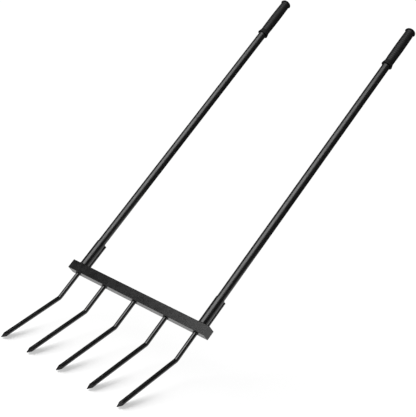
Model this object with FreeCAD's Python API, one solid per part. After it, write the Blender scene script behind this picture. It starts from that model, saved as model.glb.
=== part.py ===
import FreeCAD, Part
import math
import os

from FreeCAD import Placement, Rotation, Vector

# A two-handled broadfork: five bent tines under a crossbar, and a long tube handle over each end.
# Every piece is drawn with the tool upright: X to the right along the crossbar, Y backwards,
# Z up along the handles, zero at the middle of the crossbar's underside. The finished tool is
# then leaned back on its tines, as it stands when the handles are pulled down.
# Lengths are in millimetres and angles in degrees.

# Crossbar, a nearly square tube closed by a plate at each end
bar_length = 510.0
bar_depth = 28.0
bar_height = 27.0
bar_wall = 2.5
bar_edge_radius = 1.0
bar_plate_thickness = 3.0

# Tines, round rod bent forwards once and ground to a four-sided point
tine_diameter = 12.5
tine_end_inset = 33.0
tine_inner_pitch = 116.0
tine_shank_length = 84.5
tine_blade_length = 202.0
tine_bend_angle = 24.4
tine_bend_radius = 14.0
tine_point_length = 20.0
tine_point_flat = 1.4

# Handle sockets, short tubes that stand on the crossbar, each with a flat strap behind it
handle_end_inset = 31.5
socket_height = 80.5
socket_diameter = 25.4
socket_wall = 1.1
strap_width = 20.0
strap_thickness = 3.5
strap_height = 80.5
strap_corner_radius = 1.5

# Handles, each two lengths of tube that meet over a joiner inside them
handle_diameter = 23.0
handle_wall = 1.5
handle_height = 1030.5
lower_tube_length = 545.0
seam_gap = 0.8
joiner_length = 90.0
joiner_clearance = 0.1

# Rubber grips, with a flared flange below and a domed cap above
grip_length = 137.0
grip_clearance = 0.05
grip_flange_diameter = 32.0
grip_flange_thickness = 4.0
grip_flare_length = 5.0
grip_body_diameter = 27.4
grip_cap_diameter = 31.5
grip_cap_rim = 4.0
grip_shoulder_diameter = 25.0
grip_shoulder_height = 5.0
grip_crown_diameter = 10.0
grip_crown_height = 8.0
grip_end_wall = 6.0

# Bolts that clamp each handle from behind, through strap and socket
bolt_diameter = 6.0
bolt_head_width = 10.0
bolt_head_height = 4.0
bolt_hole_clearance = 0.2
bolt_heights = (21.0, 59.0)

# Weld beads
tine_weld_leg = 3.0
socket_weld_leg = 1.3
strap_weld_inset = 1.0
strap_weld_root = 5.0

# How steeply the handles rise when the tool is leaned back
handle_elevation = 33.7

tine_radius = tine_diameter / 2
outer_tine = bar_length / 2 - tine_end_inset
tine_positions = (-outer_tine, -tine_inner_pitch, 0.0, tine_inner_pitch, outer_tine)
handle_offset = bar_length / 2 - handle_end_inset
handle_positions = {"left": -handle_offset, "right": handle_offset}
socket_radius = socket_diameter / 2
strap_back = socket_radius + strap_thickness
handle_radius = handle_diameter / 2
handle_bore_radius = handle_radius - handle_wall
seam_bottom = bar_height + lower_tube_length
seam_top = seam_bottom + seam_gap
grip_top = bar_height + handle_height
grip_bottom = grip_top - grip_length
bolt_hole_radius = bolt_diameter / 2 + bolt_hole_clearance


def rounded_bar(length, depth, height, radius):
    """A bar along X with its four long edges rounded, standing on z = 0."""
    block = Part.makeBox(length, depth, height, Vector(-length / 2, -depth / 2, 0))
    along = [edge for edge in block.Edges if abs(edge.tangentAt(edge.FirstParameter).x) > 0.9]
    return block.makeFillet(radius, along)


def tube(radius, wall, length, base_height):
    """A round tube on the Z axis, by its outer radius."""
    base = Vector(0, 0, base_height)
    outside = Part.makeCylinder(radius, length, base)
    bore = Part.makeCylinder(radius - wall, length, base)
    return outside.cut(bore)


def turned(points):
    """A solid turned about Z from a closed outline of radius and height pairs."""
    outline = [Vector(radius, 0, height) for radius, height in points]
    face = Part.Face(Part.makePolygon(outline + outline[:1]))
    return face.revolve(Vector(0, 0, 0), Vector(0, 0, 1), 360)


def bolt_bores():
    """The room for the bolts, from behind the strap to the middle of the handle."""
    start = strap_back + 1
    return [
        Part.makeCylinder(bolt_hole_radius, start, Vector(0, start, bar_height + height), Vector(0, -1, 0))
        for height in bolt_heights
    ]


def crossbar():
    """A tube, its bore square-cornered, that ends short of the end plates."""
    length = bar_length - 2 * bar_plate_thickness
    outside = rounded_bar(length, bar_depth, bar_height, bar_edge_radius)
    bore_depth = bar_depth - 2 * bar_wall
    bore_height = bar_height - 2 * bar_wall
    bore = Part.makeBox(length, bore_depth, bore_height, Vector(-length / 2, -bore_depth / 2, bar_wall))
    return outside.cut(bore)


def bar_end_plate(side):
    """A plate with the outline of the tube."""
    plate = rounded_bar(bar_plate_thickness, bar_depth, bar_height, bar_edge_radius)
    plate.translate(Vector(side * (bar_length - bar_plate_thickness) / 2, 0, 0))
    return plate


def tine_direction():
    """The way the blade runs from the bend to the point."""
    angle = math.radians(tine_bend_angle)
    return Vector(0, -math.sin(angle), -math.cos(angle))


def tine():
    """A rod from the crossbar's underside, through one bend, to its ground point."""
    top = Vector(0, 0, 0)
    corner = Vector(0, 0, -tine_shank_length)
    blade = tine_direction()
    tip = corner + blade * tine_blade_length
    setback = tine_bend_radius * math.tan(math.radians(tine_bend_angle / 2))
    bend_start = corner + Vector(0, 0, setback)
    bend_end = corner + blade * setback
    bisector = (blade + Vector(0, 0, 1)).normalize()
    bulge = tine_bend_radius / math.cos(math.radians(tine_bend_angle / 2)) - tine_bend_radius
    bend_middle = corner + bisector * bulge
    path = Part.Wire([
        Part.makeLine(top, bend_start),
        Part.Arc(bend_start, bend_middle, bend_end).toShape(),
        Part.makeLine(bend_end, tip),
    ])
    section = Part.Wire(Part.makeCircle(tine_radius, top, Vector(0, 0, -1)))
    rod = path.makePipeShell([section], True, False)
    return rod.cut(point_waste(tip))


def point_waste(tip):
    """What grinding takes off the rod's end: a collar round a four-sided point."""
    tip_half = tine_point_flat / 2
    slope = (tine_radius - tip_half) / tine_point_length
    reach = 1.3 * tine_point_length
    root_half = tip_half + slope * reach
    # The wedge's own Y runs along the blade, from its root to its tip.
    point = Part.makeWedge(-root_half, -reach, -root_half, -tip_half, -tip_half,
                           root_half, 0, root_half, tip_half, tip_half)
    point.rotate(Vector(0, 0, 0), Vector(1, 0, 0), 90)
    collar = Part.makeCylinder(tine_radius + 1, reach, Vector(0, 0, -reach))
    waste = collar.cut(point)
    waste.Placement = Placement(tip, Rotation(Vector(1, 0, 0), 180 - tine_bend_angle))
    return waste


def handle_socket():
    return tube(socket_radius, socket_wall, socket_height, bar_height).cut(bolt_bores())


def socket_strap():
    """A flat strap behind the socket, standing on the crossbar's back edge and jutting past it."""
    base = Vector(-strap_width / 2, socket_radius, bar_height)
    strap = Part.makeBox(strap_width, strap_thickness, strap_height, base)
    top_corners = [
        edge
        for edge in strap.Edges
        if all(vertex.Z > bar_height + strap_height / 2 for vertex in edge.Vertexes)
        and abs(edge.tangentAt(edge.FirstParameter).y) > 0.9
    ]
    return strap.makeFillet(strap_corner_radius, top_corners).cut(bolt_bores())


def lower_handle_tube():
    """From the crossbar's top, inside the socket, to the seam half-way up."""
    return tube(handle_radius, handle_wall, lower_tube_length, bar_height)


def upper_handle_tube():
    """From the seam to the inside of the grip's end."""
    return tube(handle_radius, handle_wall, grip_top - grip_end_wall - seam_top, seam_top)


def handle_joiner():
    """The round bar that bridges the seam inside both tubes."""
    base = Vector(0, 0, (seam_bottom + seam_top - joiner_length) / 2)
    return Part.makeCylinder(handle_bore_radius - joiner_clearance, joiner_length, base)


def grip():
    """Turned about the handle: a flared flange, a plain body and a domed cap over its closed end."""
    bore = handle_radius + grip_clearance
    flange = grip_flange_diameter / 2
    body = grip_body_diameter / 2
    cap = grip_cap_diameter / 2
    rim_top = grip_length - grip_crown_height
    rim_bottom = rim_top - grip_cap_rim
    bore_end = grip_length - grip_end_wall
    turned_grip = turned([
        (bore, 0),
        (flange, 0),
        (flange, grip_flange_thickness),
        (body, grip_flange_thickness + grip_flare_length),
        (body, rim_bottom),
        (cap, rim_bottom),
        (cap, rim_top),
        (grip_shoulder_diameter / 2, rim_top + grip_shoulder_height),
        (grip_crown_diameter / 2, grip_length),
        (0, grip_length),
        (0, bore_end),
        (bore, bore_end),
    ])
    turned_grip.translate(Vector(0, 0, grip_bottom))
    return turned_grip


def bolt(height):
    """A hexagon bolt whose head bears on the strap and whose end presses on the handle."""
    base = Vector(0, strap_back, bar_height + height)
    shank = Part.makeCylinder(bolt_diameter / 2, strap_back - handle_radius, base, Vector(0, -1, 0))
    reach = bolt_head_width / 2 / math.cos(math.radians(30))
    corners = []
    for turn in range(7):
        angle = math.radians(60 * turn)
        corners.append(base + Vector(reach * math.cos(angle), 0, reach * math.sin(angle)))
    head = Part.Face(Part.makePolygon(corners)).extrude(Vector(0, bolt_head_height, 0))
    return head.fuse(shank)


def weld_ring(radius, leg, height, direction, opening=0.0):
    """A fillet bead round a shaft against the face at a height, left open by an angle behind."""
    inner = Vector(radius, 0, height)
    foot = Vector(radius + leg, 0, height)
    toe = Vector(radius, 0, height + direction * leg)
    section = Part.Face(Part.makePolygon([inner, foot, toe, inner]))
    bead = section.revolve(Vector(0, 0, 0), Vector(0, 0, 1), 360 - opening)
    bead.rotate(Vector(0, 0, 0), Vector(0, 0, 1), 90 + opening / 2)
    return bead


def tine_welds():
    ring = weld_ring(tine_radius, tine_weld_leg, 0, -1)
    return Part.makeCompound([ring.translated(Vector(x, 0, 0)) for x in tine_positions])


def socket_welds():
    """Beads round the feet of the sockets, stopped by the straps."""
    opening = 2 * math.degrees(math.acos(socket_radius / (socket_radius + socket_weld_leg)))
    bead = weld_ring(socket_radius, socket_weld_leg, bar_height, 1, opening)
    return Part.makeCompound([bead.translated(Vector(x, 0, 0)) for x in handle_positions.values()])


def strap_side_weld(side):
    """A bead in the groove between the round socket and the flat strap."""
    edge = strap_width / 2 - strap_weld_inset

    def on_socket(x):
        return Vector(side * x, math.sqrt(socket_radius ** 2 - x ** 2), bar_height + socket_weld_leg)

    def on_strap(x):
        return Vector(side * x, socket_radius, bar_height + socket_weld_leg)

    outline = Part.Wire([
        Part.makeLine(on_socket(strap_weld_root), on_strap(strap_weld_root)),
        Part.makeLine(on_strap(strap_weld_root), on_strap(edge)),
        Part.makeLine(on_strap(edge), on_socket(edge)),
        Part.Arc(on_socket(edge), on_socket((edge + strap_weld_root) / 2),
                 on_socket(strap_weld_root)).toShape(),
    ])
    length = strap_height - socket_weld_leg - 2 * strap_corner_radius
    return Part.Face(outline).extrude(Vector(0, 0, length))


def strap_foot_weld():
    """The bead under the strap, where it juts past the crossbar's rounded back edge."""
    back = bar_depth / 2
    start = back - bar_edge_radius
    shoulder = bar_height - bar_edge_radius
    diagonal = Vector(0, 1, 1).normalize() * bar_edge_radius
    flat_end = Vector(0, start, bar_height)
    strap_edge = Vector(0, strap_back, bar_height)
    toe = Vector(0, back, shoulder - (strap_back - back))
    round_end = Vector(0, back, shoulder)
    outline = Part.Wire([
        Part.makeLine(flat_end, strap_edge),
        Part.makeLine(strap_edge, toe),
        Part.makeLine(toe, round_end),
        Part.Arc(round_end, Vector(0, start, shoulder) + diagonal, flat_end).toShape(),
    ])
    bead = Part.Face(outline).extrude(Vector(strap_width, 0, 0))
    bead.translate(Vector(-strap_width / 2, 0, 0))
    return bead


def strap_welds():
    beads = [strap_side_weld(-1), strap_side_weld(1), strap_foot_weld()]
    return Part.makeCompound([
        bead.translated(Vector(x, 0, 0)) for x in handle_positions.values() for bead in beads
    ])


def pieces():
    """Every piece of the tool by name, drawn upright."""
    found = {
        "crossbar": crossbar(),
        "crossbar_end_plate_left": bar_end_plate(-1),
        "crossbar_end_plate_right": bar_end_plate(1),
        "tine_welds": tine_welds(),
        "socket_welds": socket_welds(),
        "strap_welds": strap_welds(),
    }
    for number, x in enumerate(tine_positions, 1):
        found[f"tine_{number}"] = tine().translated(Vector(x, 0, 0))
    repeated = {
        "handle_socket": handle_socket(),
        "socket_strap": socket_strap(),
        "lower_handle_tube": lower_handle_tube(),
        "upper_handle_tube": upper_handle_tube(),
        "handle_joiner": handle_joiner(),
        "grip": grip(),
        "handle_bolts": Part.makeCompound([bolt(height) for height in bolt_heights]),
    }
    for side, x in handle_positions.items():
        for name, shape in repeated.items():
            found[f"{name}_{side}"] = shape.translated(Vector(x, 0, 0))
    return found


def leaned_back(shapes):
    """The tool on its tines with its handles at their elevation, over the middle of its box."""
    lean = Rotation(Vector(1, 0, 0), handle_elevation - 90)
    for shape in shapes.values():
        shape.Placement = Placement(Vector(0, 0, 0), lean).multiply(shape.Placement)
    box = Part.makeCompound(list(shapes.values())).optimalBoundingBox(False, False)
    shift = Vector(-(box.XMin + box.XMax) / 2, -(box.YMin + box.YMax) / 2, -box.ZMin)
    return {name: shape.translated(shift) for name, shape in shapes.items()}


os.makedirs("parts", exist_ok=True)
for name, shape in leaned_back(pieces()).items():
    shape.exportStep(f"parts/{name}.step")
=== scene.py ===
import math

import bmesh
import bpy
from mathutils import Matrix, Vector, noise


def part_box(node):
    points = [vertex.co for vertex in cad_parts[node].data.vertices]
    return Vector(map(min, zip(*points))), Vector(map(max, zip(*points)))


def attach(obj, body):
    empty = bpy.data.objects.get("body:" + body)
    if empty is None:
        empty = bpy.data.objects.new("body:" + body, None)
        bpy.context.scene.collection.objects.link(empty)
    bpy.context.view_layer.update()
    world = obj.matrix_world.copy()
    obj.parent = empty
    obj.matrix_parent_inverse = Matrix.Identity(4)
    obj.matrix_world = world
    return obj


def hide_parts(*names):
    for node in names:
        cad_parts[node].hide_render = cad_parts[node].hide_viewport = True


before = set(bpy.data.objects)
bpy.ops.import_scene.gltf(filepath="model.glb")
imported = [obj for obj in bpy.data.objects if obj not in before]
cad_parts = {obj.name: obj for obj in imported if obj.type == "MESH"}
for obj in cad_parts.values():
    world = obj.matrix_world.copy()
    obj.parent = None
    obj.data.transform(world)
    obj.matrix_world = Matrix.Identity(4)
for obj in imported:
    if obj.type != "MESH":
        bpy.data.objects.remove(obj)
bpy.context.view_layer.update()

# The finish of a two-handled broadfork: black powder coat on its steel, ringed rubber grips,
# rippled weld beads and blackened bolts. New pieces are drawn upright, X along the crossbar,
# Y backwards, Z up the handles and zero at the middle of the crossbar's underside, and are then
# leaned back with the frame. Lengths are in metres and angles in degrees.

BAR_DEPTH = 0.028
BAR_HEIGHT = 0.027
TINE_RADIUS = 0.00625
SOCKET_RADIUS = 0.0127
SOCKET_HEIGHT = 0.0805
STRAP_WIDTH = 0.020
STRAP_THICKNESS = 0.0035
HANDLE_RADIUS = 0.0115
HANDLE_HEIGHT = 1.0305
HANDLE_ELEVATION = 33.7
GRIP_LENGTH = 0.137
BOLT_HEIGHTS = (0.021, 0.059)
BOLT_HEAD_WIDTH = 0.010
BOLT_HEAD_HEIGHT = 0.004
SIDES = ("left", "right")
TINE_COUNT = 5

plate_low, plate_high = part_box("crossbar_end_plate_left")
plate_middle = (plate_low + plate_high) / 2
LEAN = Matrix.Rotation(math.radians(HANDLE_ELEVATION - 90), 4, "X")
BAR_MIDDLE = Vector((0, plate_middle.y, plate_middle.z))
UPRIGHT_TO_FRAME = Matrix.Translation(BAR_MIDDLE - LEAN @ Vector((0, 0, BAR_HEIGHT / 2))) @ LEAN


def middle_x(node):
    low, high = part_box(node)
    return (low.x + high.x) / 2


def add_piece(name, mesh, material, slot, *nodes):
    """Puts a finished bmesh, drawn upright, in the frame in place of some CAD nodes."""
    bmesh.ops.recalc_face_normals(mesh, faces=mesh.faces)
    for face in mesh.faces:
        face.smooth = True
    data = bpy.data.meshes.new(name)
    mesh.to_mesh(data)
    mesh.free()
    data.transform(UPRIGHT_TO_FRAME)
    data.materials.append(material)
    piece = bpy.data.objects.new(name, data)
    bpy.context.scene.collection.objects.link(piece)
    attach(piece, "root")
    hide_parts(*nodes)
    return piece


# Outlines and turned forms

def rounded_outline(corners, steps=5):
    """An open outline with its corners rounded, from triples of radius, height and rounding."""
    points = []
    for index, (radius, height, rounding) in enumerate(corners):
        corner = Vector((radius, height))
        if rounding == 0:
            points.append(corner)
            continue
        before = Vector(corners[index - 1][:2]) - corner
        after = Vector(corners[index + 1][:2]) - corner
        start = corner + before.normalized() * rounding
        end = corner + after.normalized() * rounding
        for step in range(steps + 1):
            share = step / steps
            near = start.lerp(corner, share)
            far = corner.lerp(end, share)
            points.append(near.lerp(far, share))
    return points


def lathe(outline, sides):
    """A closed solid turned about Z from an outline of radius and height points."""
    mesh = bmesh.new()
    rings = []
    for radius, height in outline:
        if radius == 0:
            rings.append([mesh.verts.new((0, 0, height))])
            continue
        ring = []
        for side in range(sides):
            angle = 2 * math.pi * side / sides
            ring.append(mesh.verts.new((radius * math.cos(angle), radius * math.sin(angle), height)))
        rings.append(ring)
    for low, high in zip(rings, rings[1:] + rings[:1]):
        for side in range(sides):
            corners = [
                low[side % len(low)],
                low[(side + 1) % len(low)],
                high[(side + 1) % len(high)],
                high[side % len(high)],
            ]
            corners = list(dict.fromkeys(corners))
            if len(corners) > 2:
                mesh.faces.new(corners)
    return mesh


# Rubber grips

GRIP_CLEARANCE = 0.00005
GRIP_BORE = HANDLE_RADIUS + GRIP_CLEARANCE
GRIP_NECK_RADIUS = 0.0131
GRIP_BELLY_RADIUS = 0.0139
GRIP_FLANGE_RADIUS = 0.0160
GRIP_CAP_RADIUS = 0.01575
GRIP_RING_PITCH = 0.0064
GRIP_RING_DEPTH = 0.00025
GRIP_RINGS_START = 0.0135
GRIP_RINGS_END = 0.1225
GRIP_RING_STEPS = 8
GRIP_FLARE_END = 0.0112
GRIP_CAP_RIM = 0.0098
GRIP_SIDES = 96
GRIP_END_WALL = 0.006


def grip_barrel():
    """The swelling body between neck and cap, with shallow rings round it."""
    length = GRIP_RINGS_END - GRIP_RINGS_START
    rings = round(length / GRIP_RING_PITCH)
    points = []
    for step in range(rings * GRIP_RING_STEPS + 1):
        share = step / (rings * GRIP_RING_STEPS)
        across = 2 * share - 1
        swell = (GRIP_BELLY_RADIUS - GRIP_NECK_RADIUS) * (1 - across ** 2)
        wave = math.cos(2 * math.pi * step / GRIP_RING_STEPS)
        valley = GRIP_RING_DEPTH * ((1 + wave) / 2) ** 3
        points.append(Vector((GRIP_NECK_RADIUS + swell - valley, GRIP_RINGS_START + length * share)))
    return points


def grip_flange():
    """A thin lip turned down round the bore's mouth, flaring up to the neck."""
    return rounded_outline([
        (GRIP_BORE, 0.0016, 0),
        (GRIP_FLANGE_RADIUS - 0.0022, 0.0014, 0.0008),
        (GRIP_FLANGE_RADIUS - 0.0007, 0, 0.0003),
        (GRIP_FLANGE_RADIUS, 0.0002, 0.0003),
        (GRIP_FLANGE_RADIUS - 0.0003, 0.0018, 0.0006),
        (GRIP_NECK_RADIUS + 0.0004, GRIP_FLARE_END, 0.0016),
        (GRIP_NECK_RADIUS, GRIP_RINGS_START - 0.0002, 0),
    ])


def grip_cap():
    """A low dome with a thin rim that juts over the body."""
    rim = GRIP_LENGTH - GRIP_CAP_RIM
    return rounded_outline([
        (GRIP_NECK_RADIUS, GRIP_RINGS_END + 0.0003, 0),
        (GRIP_NECK_RADIUS + 0.0001, rim + 0.0008, 0.0007),
        (GRIP_CAP_RADIUS - 0.0006, rim, 0.0003),
        (GRIP_CAP_RADIUS, rim + 0.0002, 0.0003),
        (GRIP_CAP_RADIUS - 0.0003, rim + 0.0022, 0.0016),
        (GRIP_CAP_RADIUS * 0.84, GRIP_LENGTH - 0.0040, 0.0024),
        (GRIP_CAP_RADIUS * 0.42, GRIP_LENGTH, 0.0030),
        (0, GRIP_LENGTH, 0),
    ])


def grip_outline():
    """From the bore's mouth, round the outside, and back along the bore."""
    bore_end = GRIP_LENGTH - GRIP_END_WALL
    bore = [Vector((0, bore_end)), Vector((GRIP_BORE, bore_end))]
    return grip_flange() + grip_barrel() + grip_cap() + bore


def add_grips(material):
    outline = grip_outline()
    bottom = BAR_HEIGHT + HANDLE_HEIGHT - GRIP_LENGTH
    for side in SIDES:
        mesh = lathe(outline, GRIP_SIDES)
        bmesh.ops.translate(mesh, vec=(middle_x(f"grip_{side}"), 0, bottom), verts=mesh.verts)
        add_piece(f"ringed_grip_{side}", mesh, material, "grip_rubber", f"grip_{side}")


# Weld beads

BEAD_RIPPLE_PITCH = 0.0017
BEAD_RIPPLE_HEIGHT = 0.14
BEAD_RIPPLE_MIDDLE = 0.7
BEAD_UNEVENNESS = 0.12
BEAD_UNEVENNESS_SCALE = 180
BEAD_SEED_SCALE = 7.3
BEAD_LEG_SHARE = 0.82
BEAD_BULGE = 0.10
BEAD_END_SHARE = 0.45
BEAD_END_SLOPE = 12
BEAD_SINK = 0.0006
BEAD_SECTION_STEPS = 6
BEAD_STEPS_PER_RIPPLE = 6
TINE_BEAD = 0.0024
SOCKET_BEAD = 0.0017
STRAP_BEAD = 0.0026
STRAP_GROOVE = 0.0068
STRAP_BEAD_START = 0.003
STRAP_BEAD_LENGTH = SOCKET_HEIGHT - 0.008
STRAP_BEAD_REACH = 1.35
STRAP_FOOT_MARGIN = 0.0004
STRAP_FOOT_DROP = 1.3


def bead_size(distance, seed):
    """How full the bead is at a distance along it: one crescent after another, never quite even."""
    phase = (distance / BEAD_RIPPLE_PITCH) % 1
    ripple = BEAD_RIPPLE_HEIGHT * (math.sqrt(1 - (2 * phase - 1) ** 2) - BEAD_RIPPLE_MIDDLE)
    spot = Vector((distance * BEAD_UNEVENNESS_SCALE, seed * BEAD_SEED_SCALE, 0.5))
    drift = BEAD_UNEVENNESS * noise.noise(spot)
    return 1 + ripple + drift


def sweep_bead(mesh, stations, closed):
    """Sweeps a rounded bead along stations of root point, first side, second side and size."""
    rings = []
    for root, first, second, size in stations:
        ring = [root - (first + second).normalized() * BEAD_SINK]
        for step in range(BEAD_SECTION_STEPS + 1):
            angle = math.radians(90 * step / BEAD_SECTION_STEPS)
            full = BEAD_LEG_SHARE + BEAD_BULGE * math.sin(2 * angle)
            ring.append(root + (first * math.cos(angle) + second * math.sin(angle)) * size * full)
        rings.append([mesh.verts.new(point) for point in ring])
    following = rings[1:] + (rings[:1] if closed else [])
    for here, there in zip(rings, following):
        for index in range(len(here)):
            beside = (index + 1) % len(here)
            mesh.faces.new((here[index], here[beside], there[beside], there[index]))
    if not closed:
        mesh.faces.new(rings[0])
        mesh.faces.new(rings[-1][::-1])


def bead_ring(mesh, centre, radius, leg, direction, opening=0.0):
    """A bead round a shaft, against a face above or below it, left open behind by an angle."""
    turn = math.radians(360 - opening)
    first_angle = math.radians(90 + opening / 2)
    steps = round(turn * radius / BEAD_RIPPLE_PITCH) * BEAD_STEPS_PER_RIPPLE
    count = steps if opening == 0 else steps + 1
    stations = []
    for step in range(count):
        angle = first_angle + turn * step / steps
        outward = Vector((math.cos(angle), math.sin(angle), 0))
        size = leg * bead_size(BEAD_RIPPLE_PITCH * step / BEAD_STEPS_PER_RIPPLE, centre.x)
        stations.append((centre + outward * radius, outward, Vector((0, 0, direction)), size))
    sweep_bead(mesh, stations, closed=opening == 0)


def bead_line(mesh, start, end, first, second, leg):
    """A straight bead from one point to another, thinner at both ends."""
    length = (end - start).length
    steps = round(length / BEAD_RIPPLE_PITCH) * BEAD_STEPS_PER_RIPPLE
    stations = []
    for step in range(steps + 1):
        share = step / steps
        taper = min(1.0, BEAD_END_SHARE + BEAD_END_SLOPE * min(share, 1 - share))
        size = leg * taper * bead_size(length * share, start.x)
        stations.append((start.lerp(end, share), first, second, size))
    sweep_bead(mesh, stations, closed=False)


def add_tine_beads(material):
    mesh = bmesh.new()
    for number in range(1, TINE_COUNT + 1):
        centre = Vector((middle_x(f"tine_{number}"), 0, 0))
        bead_ring(mesh, centre, TINE_RADIUS, TINE_BEAD, -1)
    add_piece("tine_root_beads", mesh, material, "frame_coat", "tine_welds")


def add_socket_beads(material):
    mesh = bmesh.new()
    opening = 2 * math.degrees(math.acos(SOCKET_RADIUS / (SOCKET_RADIUS + SOCKET_BEAD)))
    for side in SIDES:
        centre = Vector((middle_x(f"handle_socket_{side}"), 0, BAR_HEIGHT))
        bead_ring(mesh, centre, SOCKET_RADIUS, SOCKET_BEAD, 1, opening)
    add_piece("socket_foot_beads", mesh, material, "frame_coat", "socket_welds")


def add_strap_beads(material):
    """Beads down both grooves beside each strap, and across the strap's foot."""
    mesh = bmesh.new()
    forwards = Vector((0, -1, 0))
    backwards = Vector((0, 1, 0))
    up = Vector((0, 0, 1))
    for side in SIDES:
        middle = middle_x(f"socket_strap_{side}")
        for way in (-1, 1):
            outwards = Vector((way, 0, 0))
            groove = middle + way * STRAP_GROOVE
            low = Vector((groove, SOCKET_RADIUS, BAR_HEIGHT + STRAP_BEAD_START))
            high = low + up * STRAP_BEAD_LENGTH
            bead_line(mesh, low, high, outwards, forwards * STRAP_BEAD_REACH, STRAP_BEAD)
        foot = Vector((middle, BAR_DEPTH / 2, BAR_HEIGHT))
        across = Vector((STRAP_WIDTH / 2 - STRAP_FOOT_MARGIN, 0, 0))
        bead_line(mesh, foot - across, foot + across, backwards, -up * STRAP_FOOT_DROP, STRAP_BEAD)
    add_piece("strap_beads", mesh, material, "frame_coat", "strap_welds")


# Bolts

BOLT_SIDES = 72
BOLT_WASHER_HEIGHT = 0.0005
BOLT_SHARP_ANGLE = 24
BOLT_CHAMFER_SLOPE = math.tan(math.radians(28))
BOLT_CROWN_RADIUS = BOLT_HEAD_WIDTH / 2 * 0.94
BOLT_WASHER_RADIUS = BOLT_HEAD_WIDTH * 0.48
BOLT_EDGE_SHARE = 0.985


def hexagon_reach(angle, width):
    """How far a hexagon of a width across its flats reaches at an angle in degrees."""
    return width / 2 / math.cos(math.radians(angle % 60 - 30))


def bolt_head():
    """A hexagon head with a washer face, its crown turned down to a cone at the corners."""
    mesh = bmesh.new()
    washer = BOLT_WASHER_HEIGHT
    columns = []
    for side in range(BOLT_SIDES):
        angle = 360 * side / BOLT_SIDES
        reach = hexagon_reach(angle, BOLT_HEAD_WIDTH)
        shoulder = BOLT_HEAD_HEIGHT - (reach - BOLT_CROWN_RADIUS) * BOLT_CHAMFER_SLOPE
        outline = (
            (BOLT_WASHER_RADIUS, 0),
            (BOLT_WASHER_RADIUS, washer),
            (reach * BOLT_EDGE_SHARE, washer + 0.0001),
            (reach, washer + 0.0003),
            (reach, shoulder - 0.0001),
            (reach * BOLT_EDGE_SHARE, shoulder + 0.00005),
            (BOLT_CROWN_RADIUS, BOLT_HEAD_HEIGHT),
        )
        direction = Vector((math.cos(math.radians(angle)), 0, math.sin(math.radians(angle))))
        points = [direction * radius + Vector((0, height, 0)) for radius, height in outline]
        columns.append([mesh.verts.new(point) for point in points])
    rings = list(zip(*columns))
    for low, high in zip(rings, rings[1:]):
        for side in range(BOLT_SIDES):
            beside = (side + 1) % BOLT_SIDES
            mesh.faces.new((low[side], low[beside], high[beside], high[side]))
    mesh.faces.new(rings[0])
    mesh.faces.new(rings[-1])
    return mesh


def add_bolts(material):
    for side in SIDES:
        joined = bmesh.new()
        for height in BOLT_HEIGHTS:
            head = bolt_head()
            place = Vector((
                middle_x(f"socket_strap_{side}"),
                SOCKET_RADIUS + STRAP_THICKNESS,
                BAR_HEIGHT + height,
            ))
            bmesh.ops.translate(head, vec=place, verts=head.verts)
            part = bpy.data.meshes.new("head")
            head.to_mesh(part)
            head.free()
            joined.from_mesh(part)
            bpy.data.meshes.remove(part)
        piece = add_piece(f"bolt_heads_{side}", joined, material, "bolt_steel", f"handle_bolts_{side}")
        piece.data.set_sharp_from_angle(angle=math.radians(BOLT_SHARP_ANGLE))


# Materials

def new_material(name):
    """A node material, its shader and a point in metres to hang patterns on."""
    material = bpy.data.materials.new(name)
    material.use_nodes = True
    nodes = material.node_tree.nodes
    shader = nodes["Principled BSDF"]
    place = nodes.new("ShaderNodeTexCoord").outputs["Object"]
    return material, shader, place


def noise_pattern(material, place, scale, detail=3.0, roughness=0.55):
    nodes = material.node_tree.nodes
    pattern = nodes.new("ShaderNodeTexNoise")
    pattern.inputs["Scale"].default_value = scale
    pattern.inputs["Detail"].default_value = detail
    pattern.inputs["Roughness"].default_value = roughness
    material.node_tree.links.new(place, pattern.inputs["Vector"])
    return pattern.outputs["Fac"]


def spread(material, value, low, high, to_low, to_high):
    """Maps a pattern's values from one range to another."""
    nodes = material.node_tree.nodes
    mapped = nodes.new("ShaderNodeMapRange")
    mapped.inputs["From Min"].default_value = low
    mapped.inputs["From Max"].default_value = high
    mapped.inputs["To Min"].default_value = to_low
    mapped.inputs["To Max"].default_value = to_high
    material.node_tree.links.new(value, mapped.inputs["Value"])
    return mapped.outputs["Result"]


MIX_FIRST_COLOUR = 6
MIX_SECOND_COLOUR = 7
MIX_RESULT_COLOUR = 2


def two_tones(material, value, dark, light):
    """A colour that runs from dark to light with a pattern."""
    nodes = material.node_tree.nodes
    mixed = nodes.new("ShaderNodeMix")
    mixed.data_type = "RGBA"
    mixed.inputs[MIX_FIRST_COLOUR].default_value = (*dark, 1)
    mixed.inputs[MIX_SECOND_COLOUR].default_value = (*light, 1)
    material.node_tree.links.new(value, mixed.inputs[0])
    return mixed.outputs[MIX_RESULT_COLOUR]


def bumps(material, value, distance, strength, under=None):
    """Relief from a pattern, over another relief if one is given."""
    nodes = material.node_tree.nodes
    links = material.node_tree.links
    bump = nodes.new("ShaderNodeBump")
    bump.inputs["Distance"].default_value = distance
    bump.inputs["Strength"].default_value = strength
    links.new(value, bump.inputs["Height"])
    if under is not None:
        links.new(under, bump.inputs["Normal"])
    return bump.outputs["Normal"]


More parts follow.
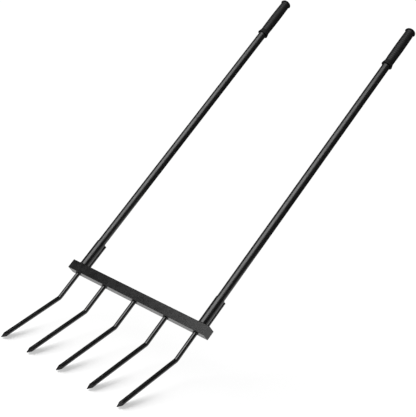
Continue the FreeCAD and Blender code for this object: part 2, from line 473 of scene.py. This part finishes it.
def powder_coat(name, dark, light, smooth, rough, specular):
    """Baked black powder coat: orange peel, fine grain and a cloudy sheen."""
    material, shader, place = new_material(name)
    links = material.node_tree.links
    clouds = noise_pattern(material, place, 60, 4.0)
    peel = noise_pattern(material, place, 900, 1.0)
    grain = noise_pattern(material, place, 2600, 2.0)
    shade = spread(material, clouds, 0.35, 0.65, 0, 1)
    links.new(two_tones(material, shade, dark, light), shader.inputs["Base Color"])
    links.new(spread(material, clouds, 0.3, 0.7, smooth, rough), shader.inputs["Roughness"])
    relief = bumps(material, peel, 0.00006, 0.35)
    relief = bumps(material, grain, 0.00001, 0.25, relief)
    links.new(relief, shader.inputs["Normal"])
    shader.inputs["Specular IOR Level"].default_value = specular
    return material


def grip_rubber():
    """Moulded rubber, matt and slightly clouded, with a fine stipple."""
    material, shader, place = new_material("ringed_rubber")
    links = material.node_tree.links
    clouds = noise_pattern(material, place, 140, 5.0)
    stipple = noise_pattern(material, place, 1800, 2.0)
    shade = spread(material, clouds, 0.35, 0.65, 0, 1)
    links.new(two_tones(material, shade, (0.004, 0.004, 0.0043), (0.008, 0.008, 0.0083)),
              shader.inputs["Base Color"])
    links.new(spread(material, stipple, 0.3, 0.7, 0.42, 0.60), shader.inputs["Roughness"])
    links.new(bumps(material, stipple, 0.00008, 0.5), shader.inputs["Normal"])
    shader.inputs["Specular IOR Level"].default_value = 0.3
    return material


def blackened_steel():
    """Black oxide on turned steel, worn a little brighter in patches."""
    material, shader, place = new_material("black_oxide")
    links = material.node_tree.links
    wear = noise_pattern(material, place, 420, 5.0)
    grain = noise_pattern(material, place, 3000, 2.0)
    shade = spread(material, wear, 0.45, 0.75, 0, 1)
    links.new(two_tones(material, shade, (0.030, 0.030, 0.032), (0.095, 0.093, 0.090)),
              shader.inputs["Base Color"])
    links.new(spread(material, wear, 0.3, 0.7, 0.32, 0.48), shader.inputs["Roughness"])
    links.new(bumps(material, grain, 0.00002, 0.3), shader.inputs["Normal"])
    shader.inputs["Metallic"].default_value = 1.0
    return material


def finish_nodes(material, *names):
    """Gives the CAD pieces whose names start so their finish."""
    for name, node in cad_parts.items():
        if name.startswith(names):
            node.data.materials.clear()
            node.data.materials.append(material)


# Stage

CAMERA_AZIMUTH = 42.942
CAMERA_ELEVATION = 25.624
CAMERA_PLACE = (1.7589, -1.9136, 1.4913)
CAMERA_SENSOR = 36.0
CAMERA_FOCAL_PIXELS = 1051.3
IMAGE_LONG_SIDE = 417
FLOOR_HALF = 30.0
FLOOR_SHADE = 0.9
FLOOR_OWN_WHITE = 0.46
FAR_OWN_WHITE = 0.93
SHADOW_START = -0.55
SHADOW_END = -0.44
AMBIENT = 0.20
SOFTBOX_PLACE = (-0.25, -1.25, 4.6)
SOFTBOX_WIDTH = 5.0
SOFTBOX_DEPTH = 2.8
SOFTBOX_RADIANCE = 5.2
SIDE_DIRECTION = (-0.90, 0.08, 0.26)
SIDE_SOFTNESS = 50
SIDE_STRENGTH = 14
SHEET_EDGES = (-0.9, 0.9, -1.1, 0.2)
ROOM_HALF = 4.0
ROOM_HEIGHT = 5.2
ROOM_FLOOR_HEIGHT = 0.001
# How brightly the dark room glows in reflections: a painted reflection.
ROOM_REFLECTION_GLOW = 0.08
SQUARE = ((-1, -1), (1, -1), (1, 1), (-1, 1))


def add_camera():
    data = bpy.data.cameras.new("camera")
    data.sensor_width = CAMERA_SENSOR
    data.lens = data.sensor_width * CAMERA_FOCAL_PIXELS / IMAGE_LONG_SIDE
    camera = bpy.data.objects.new("camera", data)
    camera.location = CAMERA_PLACE
    camera.rotation_euler = (math.radians(90 - CAMERA_ELEVATION), 0, math.radians(CAMERA_AZIMUTH))
    bpy.context.scene.collection.objects.link(camera)
    bpy.context.scene.camera = camera


def empty_material(name):
    """A node material with nothing in it yet, and its node tree."""
    material = bpy.data.materials.new(name)
    material.use_nodes = True
    material.node_tree.nodes.clear()
    return material, material.node_tree


def seen_directly(tree):
    """1 for rays that come from the camera, a glossy surface or glass."""
    path = tree.nodes.new("ShaderNodeLightPath")
    total = path.outputs["Is Camera Ray"]
    for name in ("Is Glossy Ray", "Is Transmission Ray"):
        adder = tree.nodes.new("ShaderNodeMath")
        adder.operation = "MAXIMUM"
        tree.links.new(total, adder.inputs[0])
        tree.links.new(path.outputs[name], adder.inputs[1])
        total = adder.outputs[0]
    return total


def own_white_share(tree):
    """How much of the floor is its own white: less in front, at the tine points' shadows."""
    place = tree.nodes.new("ShaderNodeTexCoord").outputs["Object"]
    split = tree.nodes.new("ShaderNodeSeparateXYZ")
    tree.links.new(place, split.inputs[0])
    share = tree.nodes.new("ShaderNodeMapRange")
    share.interpolation_type = "SMOOTHSTEP"
    share.inputs["From Min"].default_value = SHADOW_START
    share.inputs["From Max"].default_value = SHADOW_END
    share.inputs["To Min"].default_value = FLOOR_OWN_WHITE
    share.inputs["To Max"].default_value = FAR_OWN_WHITE
    tree.links.new(split.outputs["Y"], share.inputs["Value"])
    return share.outputs["Result"]


def add_floor():
    """A white floor: where it is seen directly, part is its own white and part is lit."""
    data = bpy.data.meshes.new("floor")
    corners = [(x * FLOOR_HALF, y * FLOOR_HALF, 0) for x, y in SQUARE]
    data.from_pydata(corners, [], [(0, 1, 2, 3)])
    floor = bpy.data.objects.new("floor", data)
    bpy.context.scene.collection.objects.link(floor)
    material, tree = empty_material("white_floor")
    lit = tree.nodes.new("ShaderNodeBsdfDiffuse")
    lit.inputs["Color"].default_value = (FLOOR_SHADE, FLOOR_SHADE, FLOOR_SHADE, 1)
    white = tree.nodes.new("ShaderNodeEmission")
    white.inputs["Color"].default_value = (1, 1, 1, 1)
    share = tree.nodes.new("ShaderNodeMath")
    share.operation = "MULTIPLY"
    tree.links.new(seen_directly(tree), share.inputs[0])
    tree.links.new(own_white_share(tree), share.inputs[1])
    mix = tree.nodes.new("ShaderNodeMixShader")
    tree.links.new(share.outputs[0], mix.inputs[0])
    tree.links.new(lit.outputs[0], mix.inputs[1])
    tree.links.new(white.outputs[0], mix.inputs[2])
    out = tree.nodes.new("ShaderNodeOutputMaterial")
    tree.links.new(mix.outputs[0], out.inputs["Surface"])
    data.materials.append(material)
    return floor


def add_world():
    """White where it is seen, and a soft grey light everywhere else."""
    world = bpy.data.worlds.new("studio")
    bpy.context.scene.world = world
    world.use_nodes = True
    tree = world.node_tree
    background = tree.nodes["Background"]
    background.inputs["Color"].default_value = (1, 1, 1, 1)
    strength = tree.nodes.new("ShaderNodeMapRange")
    strength.inputs["To Min"].default_value = AMBIENT
    strength.inputs["To Max"].default_value = 1.0
    tree.links.new(seen_directly(tree), strength.inputs["Value"])
    tree.links.new(strength.outputs["Result"], background.inputs["Strength"])


def share_light(lamp, floor, link_state):
    """Lets a lamp light only the floor, or everything but the floor."""
    receivers = bpy.data.collections.new(f"{lamp.name}_receivers")
    receivers.objects.link(floor)
    receivers.collection_objects[0].light_linking.link_state = link_state
    lamp.light_linking.receiver_collection = receivers


def add_softbox(floor):
    """A wide lamp overhead, a little to the front, for the tool alone."""
    data = bpy.data.lights.new("softbox", "AREA")
    data.shape = "RECTANGLE"
    data.size = SOFTBOX_WIDTH
    data.size_y = SOFTBOX_DEPTH
    data.energy = SOFTBOX_RADIANCE * SOFTBOX_WIDTH * SOFTBOX_DEPTH * math.pi
    lamp = bpy.data.objects.new("softbox", data)
    lamp.location = SOFTBOX_PLACE
    bpy.context.scene.collection.objects.link(lamp)
    share_light(lamp, floor, "EXCLUDE")


def add_side_light(floor):
    """A low soft light from the left for the floor alone, which draws the tool's shadows there."""
    data = bpy.data.lights.new("side_light", "SUN")
    data.angle = math.radians(SIDE_SOFTNESS)
    data.energy = SIDE_STRENGTH
    lamp = bpy.data.objects.new("side_light", data)
    lamp.rotation_euler = (-Vector(SIDE_DIRECTION)).to_track_quat("-Z", "Y").to_euler()
    bpy.context.scene.collection.objects.link(lamp)
    share_light(lamp, floor, "INCLUDE")


def add_dark_room():
    """Dim walls, ceiling and outer floor round the white sheet, which only reflections see: they glow
    faintly, a painted dark reflection and no lamp.
    """
    left, right, front, back = SHEET_EDGES
    sheet = ((left, front), (right, front), (right, back), (left, back))
    inner = [(x, y, ROOM_FLOOR_HEIGHT) for x, y in sheet]
    outer = [(x * ROOM_HALF, y * ROOM_HALF, ROOM_FLOOR_HEIGHT) for x, y in SQUARE]
    upper = [(x * ROOM_HALF, y * ROOM_HALF, ROOM_HEIGHT) for x, y in SQUARE]
    # The sheet's corners come first, then the outer floor's, then the ceiling's.
    faces = [(8, 9, 10, 11)]
    for corner in range(4):
        beside = (corner + 1) % 4
        faces.append((corner, beside, beside + 4, corner + 4))
        faces.append((corner + 4, beside + 4, beside + 8, corner + 8))
    data = bpy.data.meshes.new("dark_room")
    data.from_pydata(inner + outer + upper, [], faces)
    room = bpy.data.objects.new("dark_room", data)
    bpy.context.scene.collection.objects.link(room)
    material, tree = empty_material("dark_room")
    glow = tree.nodes.new("ShaderNodeEmission")
    glow.inputs["Color"].default_value = (ROOM_REFLECTION_GLOW, ROOM_REFLECTION_GLOW, ROOM_REFLECTION_GLOW, 1)
    out = tree.nodes.new("ShaderNodeOutputMaterial")
    tree.links.new(glow.outputs[0], out.inputs["Surface"])
    data.materials.append(material)
    room.visible_camera = False
    room.visible_diffuse = False
    room.visible_shadow = False
    room.visible_transmission = False


frame_black = powder_coat(
    "frame_powder_coat", dark=(0.0025, 0.0025, 0.0027), light=(0.005, 0.005, 0.0053),
    smooth=0.26, rough=0.34, specular=0.54)
# The tines' and straps' coat is the frame's black powder coat made darker: painted shade where these
# parts look darker under the lamps.
shade_darkened_tine_black = powder_coat(
    "tine_powder_coat_darkened_for_shade", dark=(0.0015, 0.0015, 0.0016), light=(0.003, 0.003, 0.0032),
    smooth=0.17, rough=0.25, specular=0.6)
# The handles' coat is the frame's black powder coat made a little darker: painted shade on the tubes.
shade_darkened_handle_black = powder_coat(
    "handle_powder_coat_darkened_for_shade", dark=(0.0020, 0.0020, 0.0021), light=(0.004, 0.004, 0.0042),
    smooth=0.32, rough=0.40, specular=0.6)
black_oxide = blackened_steel()

finish_nodes(frame_black, "crossbar", "handle_socket")
finish_nodes(shade_darkened_tine_black, "tine_", "socket_strap")
finish_nodes(shade_darkened_handle_black, "lower_handle_tube", "upper_handle_tube")
finish_nodes(black_oxide, "handle_joiner")
add_grips(grip_rubber())
add_tine_beads(frame_black)
add_socket_beads(frame_black)
add_strap_beads(frame_black)
add_bolts(black_oxide)

add_camera()
add_world()
floor = add_floor()
add_softbox(floor)
add_side_light(floor)
add_dark_room()

scene = bpy.context.scene
scene.view_settings.view_transform = "Standard"
